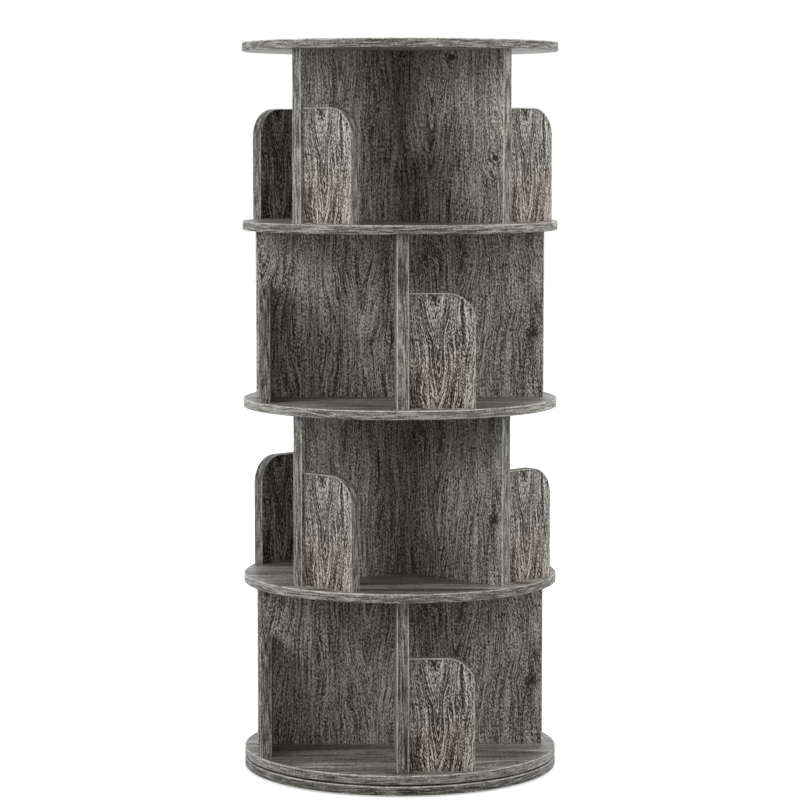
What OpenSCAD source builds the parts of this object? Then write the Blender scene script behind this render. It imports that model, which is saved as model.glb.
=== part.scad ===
// Revolving bookcase: round shelves in tiers, crossed by upright dividers with book stops,
// turning as one on a ball bearing that sits between the bottom shelf and a round base plate.
// Millimetres, +Z up. The origin is on the floor, on the axis that the bookcase turns about.

/* [Round boards] */
// Diameter of the shelves, the top board and the base plate
board_d = 460; // [420:5:520]
// Thickness of the shelves, the top board and the base plate
board_t = 13; // [12:0.5:18]
// Ease on the rim edges of the round boards
rim_ease = 1; // [0.5:0.1:2]

/* [Tiers] */
// Number of tiers
tier_count = 4; // [2:1:5]
// Clear height of a tier, which is the height of its dividers
tier_clear = 245.5; // [200:0.5:320]
// Turn of every second tier against the tiers next to it, in degrees
tier_turn = 45; // [30:1:60]

/* [Dividers] */
// Thickness of a divider
divider_t = 17; // [15:0.5:19]
// Distance from the outer end of a divider to the rim of the shelf
divider_setback = 19; // [12:0.5:30]

/* [Book stops] */
// Width of a book stop, from the face of its divider to its free end
stop_w = 94; // [60:1:105]
// Height of a book stop
stop_h = 163; // [120:1:190]
// Thickness of a book stop
stop_t = 17; // [10:0.5:19]
// Radius of the upper free corner of a book stop
stop_corner_r = 40; // [10:1:55]
// Distance from the outer face of a book stop to the end of its divider
stop_inset = 6; // [0:0.5:15]

/* [Divider fastenings] */
// Distance from each end of a divider to its nearest fastening
fixing_end = 30; // [25:1:40]
// Diameter of a divider screw
screw_d = 5; // [4:0.25:6]
// Length of a divider screw, head included
screw_len = 50; // [40:1:60]
// Diameter of a divider screw's countersunk head
screw_head_d = 10; // [8:0.25:12]
// Height of a divider screw's countersunk head
screw_head_h = 3; // [2:0.25:4]
// Width across flats of a divider screw's hexagon socket
screw_socket_w = 4; // [3:0.5:5]
// Depth of a divider screw's hexagon socket
screw_socket_depth = 2; // [1:0.25:3]
// Diameter of a divider dowel
dowel_d = 8; // [6:0.5:10]
// Length of a divider dowel
dowel_len = 30; // [24:1:40]
// Depth to which a divider dowel enters the board above
dowel_seat = 8; // [6:0.5:10]

/* [Stop fastenings] */
// Diameter of a stop dowel
stop_dowel_d = 6; // [5:0.5:8]
// Length of a stop dowel, half of it in the stop and half in the divider
stop_dowel_len = 24; // [16:1:28]
// Distance from the upper and lower edge of a book stop to its nearest dowel
stop_dowel_end = 40; // [20:1:50]
// Clearance around every dowel and screw
fit_gap = 0.1; // [0.05:0.05:0.3]

/* [Turntable bearing] */
// Gap between the base plate and the bottom shelf
swivel_gap = 2.5; // [2:0.25:5]
// Diameter of the circle on which the balls run
ball_circle_d = 240; // [200:5:280]
// Diameter of a ball
ball_d = 5; // [4:0.25:6]
// Number of balls
ball_count = 16; // [12:1:30]
// Clearance of a ball in the grooves of the races
ball_gap = 0.3; // [0.2:0.05:0.5]
// Radial width of each race
race_w = 17; // [14:0.5:22]
// Metal above and below a ball in the races
race_lip = 1.5; // [1.25:0.05:2]
// Radial gap between the two races
race_split = 2; // [1.8:0.1:2.6]
// Height by which the inner race stands above the outer race
race_lift = 1; // [0.5:0.1:1.5]
// Clearance of a race in the pocket that seats it
race_seat_gap = 0.2; // [0.1:0.05:0.5]
// Clearance of a race in the pocket that it turns in
race_run_gap = 1; // [0.5:0.1:2]
// Thickness of the retainer that spaces the balls
retainer_t = 1.2; // [0.8:0.1:1.3]
// Clearance of the retainer above and below
retainer_gap = 0.5; // [0.3:0.1:0.8]
// Clearance of a ball in the retainer
retainer_ball_gap = 0.15; // [0.1:0.05:0.3]

/* [Bearing fastenings] */
// Number of screws in each race
race_screw_count = 6; // [4:1:10]
// Diameter of a race screw
race_screw_d = 4; // [3:0.25:4.5]
// Depth to which a race screw enters the board
race_screw_bite = 8; // [5:0.5:8.5]
// Diameter of a race screw's countersunk head
race_screw_head_d = 8; // [6:0.25:9]
// Height of a race screw's countersunk head
race_screw_head_h = 2.4; // [1.5:0.1:3]
// Width across flats of a race screw's hexagon socket
race_screw_socket_w = 2.5; // [2:0.5:3]
// Depth of a race screw's hexagon socket
race_screw_socket_depth = 1.6; // [1:0.1:2]
// Diameter of the hole in the base plate through which the inner race's screws are reached
access_d = 18; // [14:1:26]

/* [Foot pads] */
// Diameter of a foot pad
pad_d = 36; // [25:1:45]
// Thickness of a foot pad
pad_t = 2.5; // [1.5:0.25:5]
// Number of foot pads
pad_count = 8; // [6:1:12]
// Distance from the rim of the base plate to the centre of a foot pad
pad_setback = 40; // [30:1:60]

/* [Hidden] */
$fn = 96;
// Dividers in a tier, which meet in a cross
arm_count = 4;
// Length by which a cut runs past the face that it opens
cut_past = 1;
hexagon = 6;

board_r = board_d / 2;
divider_inner_r = divider_t / 2;
divider_outer_r = board_r - divider_setback;
stop_outer_r = divider_outer_r - stop_inset;
stop_mid_r = stop_outer_r - stop_t / 2;
fixing_radii = [divider_inner_r + fixing_end, divider_outer_r - fixing_end];
stop_dowel_heights = [stop_dowel_end, stop_h - stop_dowel_end];

tier_pitch = tier_clear + board_t;
base_top_z = pad_t + board_t;
bottom_shelf_z = base_top_z + swivel_gap;

ball_r = ball_circle_d / 2;
groove_r = ball_d / 2 + ball_gap;
race_h = ball_d + 2 * race_lip;
bearing_h = race_h + race_lift;
pocket_depth = (bearing_h - swivel_gap) / 2;
bearing_z = base_top_z - pocket_depth;
ball_z = bearing_z + bearing_h / 2;
inner_race_r = ball_r - race_split / 2;
outer_race_r = ball_r + race_split / 2;
inner_race_screw_r = inner_race_r - race_w / 2;
outer_race_screw_r = outer_race_r + race_w / 2;
race_screw_len = race_h + race_screw_bite;

// Underside of shelf k, counted from the bottom shelf; the last one is the top board
function shelf_z(k) = bottom_shelf_z + (k - 1) * tier_pitch;
// Floor of tier k, counted from the bottom
function tier_z(k) = shelf_z(k) + board_t;
// Direction of an arm of tier k
function arm_angle(k, arm) = (k - 1) % 2 * tier_turn + (arm - 1) * 360 / arm_count;

function shelf_name(k) = k == 1 ? "bottom_shelf" : k > tier_count ? "top_board" : str("shelf_", k);
function divider_name(k, arm) = str("divider_", k, "_", arm);
function stop_name(k, arm) = str("book_stop_", k, "_", arm);

// A round board with eased rim edges, standing on z = 0
module round_board() {
    rim = [
        [0, 0],
        [board_r - rim_ease, 0],
        [board_r, rim_ease],
        [board_r, board_t - rim_ease],
        [board_r - rim_ease, board_t],
        [0, board_t]
    ];
    rotate_extrude() polygon(rim);
}

// A flat ring from z = 0 up
module ring(inner_r, outer_r, height) {
    difference() {
        cylinder(r = outer_r, h = height);
        translate([0, 0, -cut_past]) cylinder(r = inner_r, h = height + 2 * cut_past);
    }
}

// Copies of a child around the axis, at one radius
module around(count, radius) {
    for (i = [0 : count - 1])
        rotate(i * 360 / count) translate([radius, 0, 0]) children();
}

// Copies of a child at the two fastenings of every divider in tier k
module at_fixings(k) {
    for (arm = [1 : arm_count], radius = fixing_radii)
        rotate(arm_angle(k, arm)) translate([radius, 0, 0]) children();
}

// A screw that points up, with the flat of its countersunk head on z = 0
module countersunk_screw(d, length, head_d, head_h, socket_w, socket_depth) {
    difference() {
        union() {
            cylinder(d1 = head_d, d2 = d, h = head_h);
            cylinder(d = d, h = length);
        }
        translate([0, 0, -cut_past])
            cylinder(d = socket_w / cos(180 / hexagon), h = socket_depth + cut_past, $fn = hexagon);
    }
}

// The hole that such a screw fits, open below z = 0
module countersunk_hole(d, length, head_d, head_h) {
    cylinder(d1 = head_d + 2 * fit_gap, d2 = d + 2 * fit_gap, h = head_h);
    cylinder(d = d + 2 * fit_gap, h = length + fit_gap);
    translate([0, 0, -cut_past]) cylinder(d = head_d + 2 * fit_gap, h = cut_past);
}

module divider_screw() {
    countersunk_screw(screw_d, screw_len, screw_head_d, screw_head_h, screw_socket_w, screw_socket_depth);
}

module divider_screw_hole() {
    countersunk_hole(screw_d, screw_len, screw_head_d, screw_head_h);
}

module race_screw() {
    countersunk_screw(race_screw_d, race_screw_len, race_screw_head_d, race_screw_head_h,
        race_screw_socket_w, race_screw_socket_depth);
}

module race_screw_hole() {
    countersunk_hole(race_screw_d, race_screw_len, race_screw_head_d, race_screw_head_h);
}

// The outer race's screws point down from its upper face
module at_outer_race_screws() {
    translate([0, 0, bearing_z + race_h])
        around(race_screw_count, outer_race_screw_r) mirror([0, 0, 1]) children();
}

// The inner race's screws point up from its lower face
module at_inner_race_screws() {
    translate([0, 0, bearing_z + race_lift])
        around(race_screw_count, inner_race_screw_r) children();
}

// The round groove that the balls run in
module ball_groove() {
    translate([0, 0, ball_z])
        rotate_extrude() translate([ball_r, 0]) circle(r = groove_r);
}

// The two dowels of a book stop, lying across the face of the divider, at the arm along +X
module stop_dowel_pair(d, length) {
    for (height = stop_dowel_heights)
        translate([stop_mid_r, divider_t / 2, height])
            rotate([90, 0, 0]) cylinder(d = d, h = length, center = true);
}

module base_plate() {
    color("#5d5852") difference() {
        translate([0, 0, pad_t]) round_board();
        translate([0, 0, bearing_z])
            ring(inner_race_r - race_w - race_run_gap, outer_race_r + race_w + race_seat_gap,
                pocket_depth + cut_past);
        at_outer_race_screws() race_screw_hole();
        translate([inner_race_screw_r, 0, pad_t - cut_past]) cylinder(d = access_d, h = board_t + 2 * cut_past);
    }
}

module foot_pads() {
    color("#2b2a29") around(pad_count, board_r - pad_setback) cylinder(d = pad_d, h = pad_t);
}

module outer_race() {
    color("#b4b6b8") difference() {
        translate([0, 0, bearing_z]) ring(outer_race_r, outer_race_r + race_w, race_h);
        ball_groove();
        at_outer_race_screws() race_screw_hole();
    }
}

module outer_race_screws() {
    color("#8d9093") at_outer_race_screws() race_screw();
}

module inner_race() {
    color("#b4b6b8") difference() {
        translate([0, 0, bearing_z + race_lift]) ring(inner_race_r - race_w, inner_race_r, race_h);
        ball_groove();
        at_inner_race_screws() race_screw_hole();
    }
}

module inner_race_screws() {
    color("#8d9093") at_inner_race_screws() race_screw();
}

module bearing_balls() {
    color("#c9ccce") translate([0, 0, ball_z]) around(ball_count, ball_r) sphere(d = ball_d);
}

module ball_retainer() {
    color("#e4e2da") difference() {
        translate([0, 0, bearing_z + retainer_gap])
            ring(ball_r - retainer_t / 2, ball_r + retainer_t / 2, bearing_h - 2 * retainer_gap);
        translate([0, 0, ball_z]) around(ball_count, ball_r)
            rotate([0, 90, 0])
                cylinder(d = ball_d + 2 * retainer_ball_gap, h = retainer_t + 2 * cut_past, center = true);
    }
}

// Pocket under the bottom shelf: it seats the inner race and clears the outer one
module shelf_bearing_cuts() {
    translate([0, 0, bottom_shelf_z - cut_past])
        ring(inner_race_r - race_w - race_seat_gap, outer_race_r + race_w + race_run_gap, pocket_depth + cut_past);
    at_inner_race_screws() race_screw_hole();
}

// Shelf k, with screw holes for the dividers on it and dowel holes for the dividers under it
module shelf(k) {
    color("#6f6a63") difference() {
        translate([0, 0, shelf_z(k)]) round_board();
        if (k <= tier_count)
            translate([0, 0, shelf_z(k)]) at_fixings(k) divider_screw_hole();
        if (k > 1)
            translate([0, 0, shelf_z(k) - cut_past])
                at_fixings(k - 1) cylinder(d = dowel_d + 2 * fit_gap, h = dowel_seat + fit_gap + cut_past);
        if (k == 1)
            shelf_bearing_cuts();
    }
}

// A divider of tier k, drilled for its screws, its dowels and the dowels of its book stop
module divider(k, arm) {
    dowel_depth = dowel_len - dowel_seat + fit_gap;
    color("#77716a") translate([0, 0, tier_z(k)]) rotate(arm_angle(k, arm)) difference() {
        translate([divider_inner_r, -divider_t / 2, 0])
            cube([divider_outer_r - divider_inner_r, divider_t, tier_clear]);
        for (radius = fixing_radii) {
            translate([radius, 0, -board_t]) divider_screw_hole();
            translate([radius, 0, tier_clear - dowel_depth])
                cylinder(d = dowel_d + 2 * fit_gap, h = dowel_depth + cut_past);
        }
        stop_dowel_pair(stop_dowel_d + 2 * fit_gap, stop_dowel_len + 2 * fit_gap);
    }
}

// Outline of a book stop, from the face of its divider, with its upper free corner rounded
module stop_outline() {
    square([stop_w, stop_h - stop_corner_r]);
    square([stop_w - stop_corner_r, stop_h]);
    translate([stop_w - stop_corner_r, stop_h - stop_corner_r]) circle(r = stop_corner_r);
}

// A book stop of tier k, square to its divider near the outer end
module book_stop(k, arm) {
    color("#7d766e") translate([0, 0, tier_z(k)]) rotate(arm_angle(k, arm)) difference() {
        translate([stop_outer_r - stop_t, divider_t / 2, 0])
            rotate([90, 0, 90]) linear_extrude(stop_t) stop_outline();
        stop_dowel_pair(stop_dowel_d + 2 * fit_gap, stop_dowel_len + 2 * fit_gap);
    }
}

module divider_screws() {
    color("#8d9093") for (k = [1 : tier_count])
        translate([0, 0, shelf_z(k)]) at_fixings(k) divider_screw();
}

module divider_dowels() {
    color("#c8a877") for (k = [1 : tier_count])
        translate([0, 0, shelf_z(k + 1) + dowel_seat - dowel_len]) at_fixings(k)
            cylinder(d = dowel_d, h = dowel_len);
}

module stop_dowels() {
    color("#c8a877") for (k = [1 : tier_count], arm = [1 : arm_count])
        translate([0, 0, tier_z(k)]) rotate(arm_angle(k, arm)) stop_dowel_pair(stop_dowel_d, stop_dowel_len);
}

base_plate();
foot_pads();
outer_race();
outer_race_screws();
bearing_balls();
ball_retainer();
inner_race();
inner_race_screws();
for (k = [1 : tier_count + 1])
    shelf(k);
for (k = [1 : tier_count], arm = [1 : arm_count])
    divider(k, arm);
for (k = [1 : tier_count], arm = [1 : arm_count])
    book_stop(k, arm);
divider_screws();
divider_dowels();
stop_dowels();
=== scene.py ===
"""A revolving bookcase in weathered grey oak print: its boards, its bearing and its fastenings.

Metres, +Z up. The origin is on the floor, on the axis that the bookcase turns about.
"""

import logging
import math
from dataclasses import dataclass, field, replace
from enum import Enum, IntEnum
from typing import Callable, Iterable, Iterator, Mapping, Sequence

import bpy
import numpy as np
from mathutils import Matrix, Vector, geometry


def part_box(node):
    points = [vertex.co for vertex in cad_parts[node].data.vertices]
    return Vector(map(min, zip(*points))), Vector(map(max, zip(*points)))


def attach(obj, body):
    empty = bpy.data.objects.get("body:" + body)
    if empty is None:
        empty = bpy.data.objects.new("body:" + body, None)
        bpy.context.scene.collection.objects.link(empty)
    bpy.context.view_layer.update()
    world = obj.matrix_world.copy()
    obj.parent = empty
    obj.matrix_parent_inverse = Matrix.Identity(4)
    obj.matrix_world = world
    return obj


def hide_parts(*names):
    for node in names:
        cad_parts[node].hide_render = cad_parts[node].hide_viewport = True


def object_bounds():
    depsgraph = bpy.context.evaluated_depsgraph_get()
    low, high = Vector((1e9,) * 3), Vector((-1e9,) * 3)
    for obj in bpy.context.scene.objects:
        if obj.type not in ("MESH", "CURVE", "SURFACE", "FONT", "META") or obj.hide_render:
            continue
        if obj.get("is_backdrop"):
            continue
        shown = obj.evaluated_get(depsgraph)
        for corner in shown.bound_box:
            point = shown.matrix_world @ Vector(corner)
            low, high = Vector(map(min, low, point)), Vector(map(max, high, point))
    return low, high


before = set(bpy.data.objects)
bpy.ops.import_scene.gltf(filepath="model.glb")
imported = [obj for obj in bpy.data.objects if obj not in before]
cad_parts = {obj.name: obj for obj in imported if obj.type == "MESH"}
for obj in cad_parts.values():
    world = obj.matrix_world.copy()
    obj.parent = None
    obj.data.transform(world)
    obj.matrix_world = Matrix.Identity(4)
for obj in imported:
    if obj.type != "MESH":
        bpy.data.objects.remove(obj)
CAD_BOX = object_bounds()

Array = np.ndarray
Pair = tuple[float, float]
Spot = tuple[float, float, float]
Colour = tuple[float, float, float, float]
Stops = Sequence[tuple[float, Colour]]
Operator = Callable[["Wire", "float | Wire"], "Wire"]

DECOR_MAP = "Decor"
LAMINATE = "_laminate"
TIERS = 4
ARMS = 4

# Points that lie this close are one point of a mesh.
WELD = 1e-7
# The triangulation gives what lies inside the outer loop, and merges no points.
FILL_INSIDE = 1
FILL_TOLERANCE = 1e-9
SHARP_ANGLE = math.radians(40)
RIM_SIDES = 240
BORE_SIDES = 32
EASE_STEPS = 5
CORNER_STEPS = 24
QUARTER = math.pi / 2
TURN = 2 * math.pi

# A noise lies between nought and one, about this middle. It has so many finer layers, of this weight.
NOISE_MIDDLE = 0.5
NOISE_DETAIL = 1.0
NOISE_ROUGH = 0.55
# Where the Mix node has its two colours and the colour that comes out.
MIX_FIRST, MIX_SECOND, MIX_RESULT = 6, 7, 2

X_AXIS, Y_AXIS, Z_AXIS = np.eye(3)
WHITE = (1.0, 1.0, 1.0, 1.0)

log = logging.getLogger("bookcase")


class Finish(IntEnum):
    """The finishes that a board shows, in the order of its material slots."""

    FACE = 0
    BAND = 1
    # The rounded edges, whose pale tones are a painted highlight.
    EASE = 2
    CORE = 3


class Grain(Enum):
    """How the print lies on a flat face: along its second direction or along its first."""

    UPRIGHT = (0, 1)
    LYING = (1, 0)


class Side(Enum):
    """The two level faces of a board, by the direction in which each one looks."""

    TOP = 1.0
    UNDER = -1.0


class Layer(Enum):
    """The layers of noise in the print, each with the seed that tells it from the others."""

    LINES = 7.0
    BANDS = 9.0
    FIBRES = 11.0
    DRIFT = 23.0
    CLOUDS = 29.0
    SWAY = 32.0
    RIPPLE = 34.0
    KNOTS = 41.0


@dataclass
class Patch:
    """A stretch of surface: its points, its faces, where it lies on the print and how it is finished."""

    points: Array
    faces: Array
    decor: Array
    finish: Finish
    smooth: bool


def together(*parts: float | Array) -> Array:
    """Stretches numbers and arrays to one shape and sets them side by side in a new last axis."""
    return np.stack(np.broadcast_arrays(*parts), axis=-1)


def ray(angle: Array) -> Array:
    """The pair of cosine and sine at each angle."""
    return together(np.cos(angle), np.sin(angle))


def circle(radius: float, sides: int, start: float = 0.0, closed: bool = False) -> Array:
    """Points at even angles round the origin, the first one repeated at the end if closed.

    Args:
        radius: Radius of the circle.
        sides: Number of sides.
        start: Angle of the first point.
        closed: Whether the last point is the first one again.

    Returns:
        The points, as count by 2.
    """
    return radius * ray(start + np.arange(sides + closed) * TURN / sides)


def arc(centre: Pair, radius: float, start: float, end: float, steps: int) -> Array:
    """Points on a circle about a centre, at even angles from one angle to another.

    Args:
        centre: Centre of the circle.
        radius: Its radius.
        start: First angle.
        end: Last angle.
        steps: Number of sides between them.

    Returns:
        The points, as steps + 1 by 2.
    """
    return np.asarray(centre) + radius * ray(np.linspace(start, end, steps + 1))


def rectangle(wide: float, tall: float) -> Array:
    """The corners of a rectangle, anticlockwise from its lower left one."""
    return np.array([(0.0, 0.0), (wide, 0.0), (wide, tall), (0.0, tall)])


def run_length(points: Array) -> Array:
    """Distance from the first point to each point, summed along the line through them."""
    steps = np.linalg.norm(np.diff(points, axis=0), axis=-1)
    return np.concatenate([[0.0], np.cumsum(steps)])


def grid_patch(points: Array, decor: Array, finish: Finish) -> Patch:
    """Joins a grid of points to their neighbours with quads.

    The outward side is the step along the rows crossed with the step along the columns.

    Args:
        points: Places on the surface, rows by columns by 3.
        decor: Places on the print, rows by columns by 2.
        finish: The finish that the stretch shows.

    Returns:
        The patch, shaded smooth.
    """
    rows, columns = points.shape[:2]
    index = np.arange(rows * columns).reshape(rows, columns)
    faces = np.stack([index[:-1, :-1], index[1:, :-1], index[1:, 1:], index[:-1, 1:]], axis=-1)
    return Patch(points.reshape(-1, 3), faces.reshape(-1, 4), decor.reshape(-1, 2), finish, True)


def prism(outline: Array, low: float, high: float, decor_at: Pair, finish: Finish) -> Patch:
    """Carries a line of points in the plane straight up, from one height to another.

    Args:
        outline: Points in the plane, as count by 2, with the outward side on their right.
        low: Lower height.
        high: Upper height.
        decor_at: Place on the print of the first point at the lower height.
        finish: The finish shown.

    Returns:
        The patch, with the print unrolled along the line.
    """
    height = np.array([low, high])
    points = together(outline[:, :1], outline[:, 1:], height)
    decor = together(decor_at[0] + run_length(outline)[:, None], decor_at[1] + height - low)
    return grid_patch(points, decor, finish)


@dataclass(frozen=True)
class Plane:
    """A flat face's own axes. Its outward normal is `across` crossed with `along`."""

    origin: Array
    across: Array
    along: Array

    @classmethod
    def level(cls, height: float, side: Side) -> "Plane":
        """A level face at a height over the axis, looking up or down."""
        return cls(height * Z_AXIS, X_AXIS, side.value * Y_AXIS)

    @property
    def normal(self) -> Array:
        """The direction in which the face looks."""
        return np.cross(self.across, self.along)

    def place(self, flat: Array, depth: float | Array = 0.0) -> Array:
        """Puts points of the face into space: origin + a across + b along - depth normal.

        Args:
            flat: Pairs (a, b), in the last axis.
            depth: Depth under the face, one for all or one for each pair.

        Returns:
            The places, with 3 numbers in the last axis.
        """
        below = np.asarray(depth, dtype=float)[..., None]
        return self.origin + flat[..., :1] * self.across + flat[..., 1:] * self.along - below * self.normal

    def flatten(self, point: Sequence[float]) -> Array:
        """The pair (a, b) of a point, measured along the face's own axes."""
        away = np.asarray(point) - self.origin
        return np.array([away @ self.across, away @ self.along])

    def fill(self, loops: Sequence[Array], decor_at: Pair, finish: Finish, grain: Grain) -> Patch:
        """Triangles between an outer loop and the loops of the holes in it.

        The triangulation spans the holes too. Each hole is convex, so a triangle with all three corners on
        the loop of one hole lies inside that hole, and is left out.

        Args:
            loops: The outer loop, then those of the holes, each as count by 2.
            decor_at: Place of the face's origin on the print.
            finish: The finish shown.
            grain: How the print lies on the face.

        Returns:
            The patch, shaded flat.
        """
        counts = [len(loop) for loop in loops]
        ends = np.cumsum(counts)
        index = np.arange(ends[-1])
        following = index + 1
        following[ends - 1] = ends - counts
        flat = np.concatenate(loops)
        corners = [Vector(pair) for pair in flat.tolist()]
        edges = together(index, following).tolist()
        filled = geometry.delaunay_2d_cdt(corners, edges, [], FILL_INSIDE, FILL_TOLERANCE)
        _, _, triangles, origins, _, _ = filled
        faces = np.array([origin[0] for origin in origins])[np.array(triangles)]
        owner = np.repeat(np.arange(len(loops)), counts)[faces]
        faces = faces[(owner[:, 0] == 0) | (owner != owner[:, :1]).any(axis=1)]
        first, second = (flat[faces[:, corner]] - flat[faces[:, 0]] for corner in (1, 2))
        turned = first[:, 0] * second[:, 1] < first[:, 1] * second[:, 0]
        faces[turned] = faces[turned, ::-1]
        decor = np.asarray(decor_at) + flat[:, grain.value]
        return Patch(self.place(flat), faces, decor, finish, False)


@dataclass(frozen=True)
class Bore:
    """A drilled hole: where it opens, and its radius at each depth from its face inwards.

    A bore of one step is the far opening of a hole whose walls belong to the other face.
    """

    at: Spot
    steps: tuple[Pair, ...]
    through: bool = False

    def opening(self, plane: Plane) -> Array:
        """The loop that the hole cuts in its face."""
        return plane.flatten(self.at) + circle(self.steps[0][0], BORE_SIDES)

    def walls(self, plane: Plane) -> Iterator[Patch]:
        """The hole's walls, its steps turned about its axis, and the bottom of a blind hole.

        Args:
            plane: The face that the hole opens on.

        Yields:
            The patches.
        """
        if len(self.steps) == 1:
            return
        radii, depths = np.array(self.steps).T
        flat = plane.flatten(self.at) + circle(1.0, BORE_SIDES, closed=True)[:, None] * radii[:, None]
        yield grid_patch(plane.place(flat, np.broadcast_to(depths, flat.shape[:2])), flat, Finish.CORE)
        if not self.through:
            ring = flat[:-1, -1]
            bottom = np.arange(BORE_SIDES)[None]
            yield Patch(plane.place(ring, depths[-1]), bottom, ring, Finish.CORE, False)


def drilled_face(
    plane: Plane,
    outline: Array,
    bores: Sequence[Bore],
    decor_at: Pair,
    finish: Finish,
    grain: Grain = Grain.UPRIGHT,
    inner: Sequence[Array] = (),
) -> Iterator[Patch]:
    """A flat face with its drilled holes.

    Args:
        plane: The face's axes.
        outline: Its outer loop.
        bores: The holes drilled in it.
        decor_at: Place of its origin on the print.
        finish: The finish shown.
        grain: How the print lies on it.
        inner: Loops of further openings in it.

    Yields:
        The walls of the holes, then the face between them.
    """
    for bore in bores:
        yield from bore.walls(plane)
    yield plane.fill([outline, *inner, *(bore.opening(plane) for bore in bores)], decor_at, finish, grain)


class Shell:
    """A closed piece, gathered from patches that meet edge to edge."""

    def __init__(self, name: str) -> None:
        """Starts an empty piece of that name."""
        self.name = name
        self.patches: list[Patch] = []

    def add(self, patches: Iterable[Patch]) -> "Shell":
        """Takes in more patches."""
        self.patches.extend(patches)
        return self

    def turn(self, angle: float) -> "Shell":
        """Turns the whole piece about the axis of the bookcase.

        Args:
            angle: How far, anticlockwise as seen from above.

        Returns:
            The piece itself.
        """
        cos, sin = math.cos(angle), math.sin(angle)
        matrix = np.array([[cos, -sin, 0.0], [sin, cos, 0.0], [0.0, 0.0, 1.0]])
        for patch in self.patches:
            patch.points = patch.points @ matrix.T
        return self

    def build(self, finishes: Sequence[bpy.types.Material]) -> bpy.types.Object:
        """Welds the patches where their points coincide and makes the object.

        Args:
            finishes: The materials, in the order of Finish.

        Returns:
            The object, at the origin, with its place in its mesh.
        """
        points = np.concatenate([patch.points for patch in self.patches])
        keys = np.round(points / WELD).astype(np.int64)
        _, kept, merged = np.unique(keys, axis=0, return_index=True, return_inverse=True)
        merged = merged.reshape(-1)
        starts = np.cumsum([0] + [len(patch.points) for patch in self.patches])
        faces = [
            row
            for patch, start in zip(self.patches, starts)
            for row in merged[patch.faces + start].tolist()
        ]
        mesh = bpy.data.meshes.new(self.name)
        mesh.from_pydata(points[kept].tolist(), [], faces)
        decor = np.concatenate([patch.decor[patch.faces.reshape(-1)] for patch in self.patches])
        mesh.uv_layers.new(name=DECOR_MAP).data.foreach_set("uv", decor.reshape(-1).astype(np.float32))
        counts = [len(patch.faces) for patch in self.patches]
        finish = np.repeat([int(patch.finish) for patch in self.patches], counts)
        smooth = np.repeat([patch.smooth for patch in self.patches], counts)
        mesh.polygons.foreach_set("material_index", finish.astype(np.int32))
        mesh.polygons.foreach_set("use_smooth", smooth)
        mesh.set_sharp_from_angle(angle=SHARP_ANGLE)
        for material in finishes:
            mesh.materials.append(material)
        mesh.update()
        piece = bpy.data.objects.new(self.name, mesh)
        bpy.context.scene.collection.objects.link(piece)
        return piece


def stand_in(piece: bpy.types.Object, node: str, body: str, slot: str) -> bpy.types.Object:
    """Sets a piece in place of a node of the frame.

    Args:
        piece: The new piece.
        node: The node that it stands for.
        body: The body that it moves with.
        slot: The record's material slot; not used.

    Returns:
        The piece.
    """
    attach(piece, body)
    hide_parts(node)
    log.info("%s stands for %s", piece.name, node)
    return piece


def srgb(code: str, brown: int = 0) -> Colour:
    """A colour written as six hexadecimal digits, as the linear values that a shader takes.

    Args:
        code: The colour's digits.
        brown: How far its red is raised and its blue lowered, out of 255.

    Returns:
        For each channel c: c / 12.92 where it is dark, and ((c + 0.055) / 1.055) ** 2.4 above that.
    """
    red, green, blue = bytes.fromhex(code)
    parts = [level / 255 for level in (red + brown, green, blue - brown)]
    linear = [c / 12.92 if c <= 0.04045 else ((c + 0.055) / 1.055) ** 2.4 for c in parts]
    return (*linear, 1.0)


def grey(level: float) -> Colour:
    """A neutral colour of a linear level."""
    return (level, level, level, 1.0)


def both_ways(operation: str) -> tuple[Operator, Operator]:
    """Makes an operator on values in a shader, and its reflected form.

    Args:
        operation: The Math node's operation.

    Returns:
        The method for a value on the left, and the one for a number on the left.
    """

    def forward(self: "Wire", other: "float | Wire") -> "Wire":
        """The operation on this value and another."""
        return self.math(operation, self, other)

    def reflected(self: "Wire", other: float) -> "Wire":
        """The operation on a number and this value."""
        return self.math(operation, other, self)

    return forward, reflected


class Wire:
    """A value in a shader. Arithmetic on it adds Math nodes."""

    def __init__(self, graph: "Graph", socket: bpy.types.NodeSocket | None) -> None:
        """Wraps an output socket of a graph."""
        self.graph = graph
        self.socket = socket

    __add__, __radd__ = both_ways("ADD")
    __sub__, __rsub__ = both_ways("SUBTRACT")
    __mul__, __rmul__ = both_ways("MULTIPLY")
    __truediv__, __rtruediv__ = both_ways("DIVIDE")
    __pow__, __rpow__ = both_ways("POWER")

    def math(self, operation: str, *values: "float | Wire") -> "Wire":
        """A Math node on the values given."""
        return self.graph.node("ShaderNodeMath", {"operation": operation}, dict(enumerate(values)))

    def sine(self) -> "Wire":
        """The sine of this value."""
        return self.math("SINE", self)

    def fraction(self) -> "Wire":
        """What is left of this value above its whole number."""
        return self.math("FRACT", self)

    def size(self) -> "Wire":
        """This value without its sign."""
        return self.math("ABSOLUTE", self)

    def fade(self) -> "Wire":
        """One over e to this value."""
        return self.math("EXPONENT", self * -1.0)

    def most(self, other: "float | Wire") -> "Wire":
        """The larger of two values."""
        return self.math("MAXIMUM", self, other)

    def step(self, start: float, end: float) -> "Wire":
        """Nought before start, one after end and a smooth rise between; end may be the lower."""
        settings = {"interpolation_type": "SMOOTHSTEP", "clamp": True}
        return self.graph.node("ShaderNodeMapRange", settings, {0: self, 1: start, 2: end, 3: 0.0, 4: 1.0})

    def other(self, out: str | int) -> "Wire":
        """Another output of the node that this value comes from."""
        return Wire(self.graph, self.socket.node.outputs[out])


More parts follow.
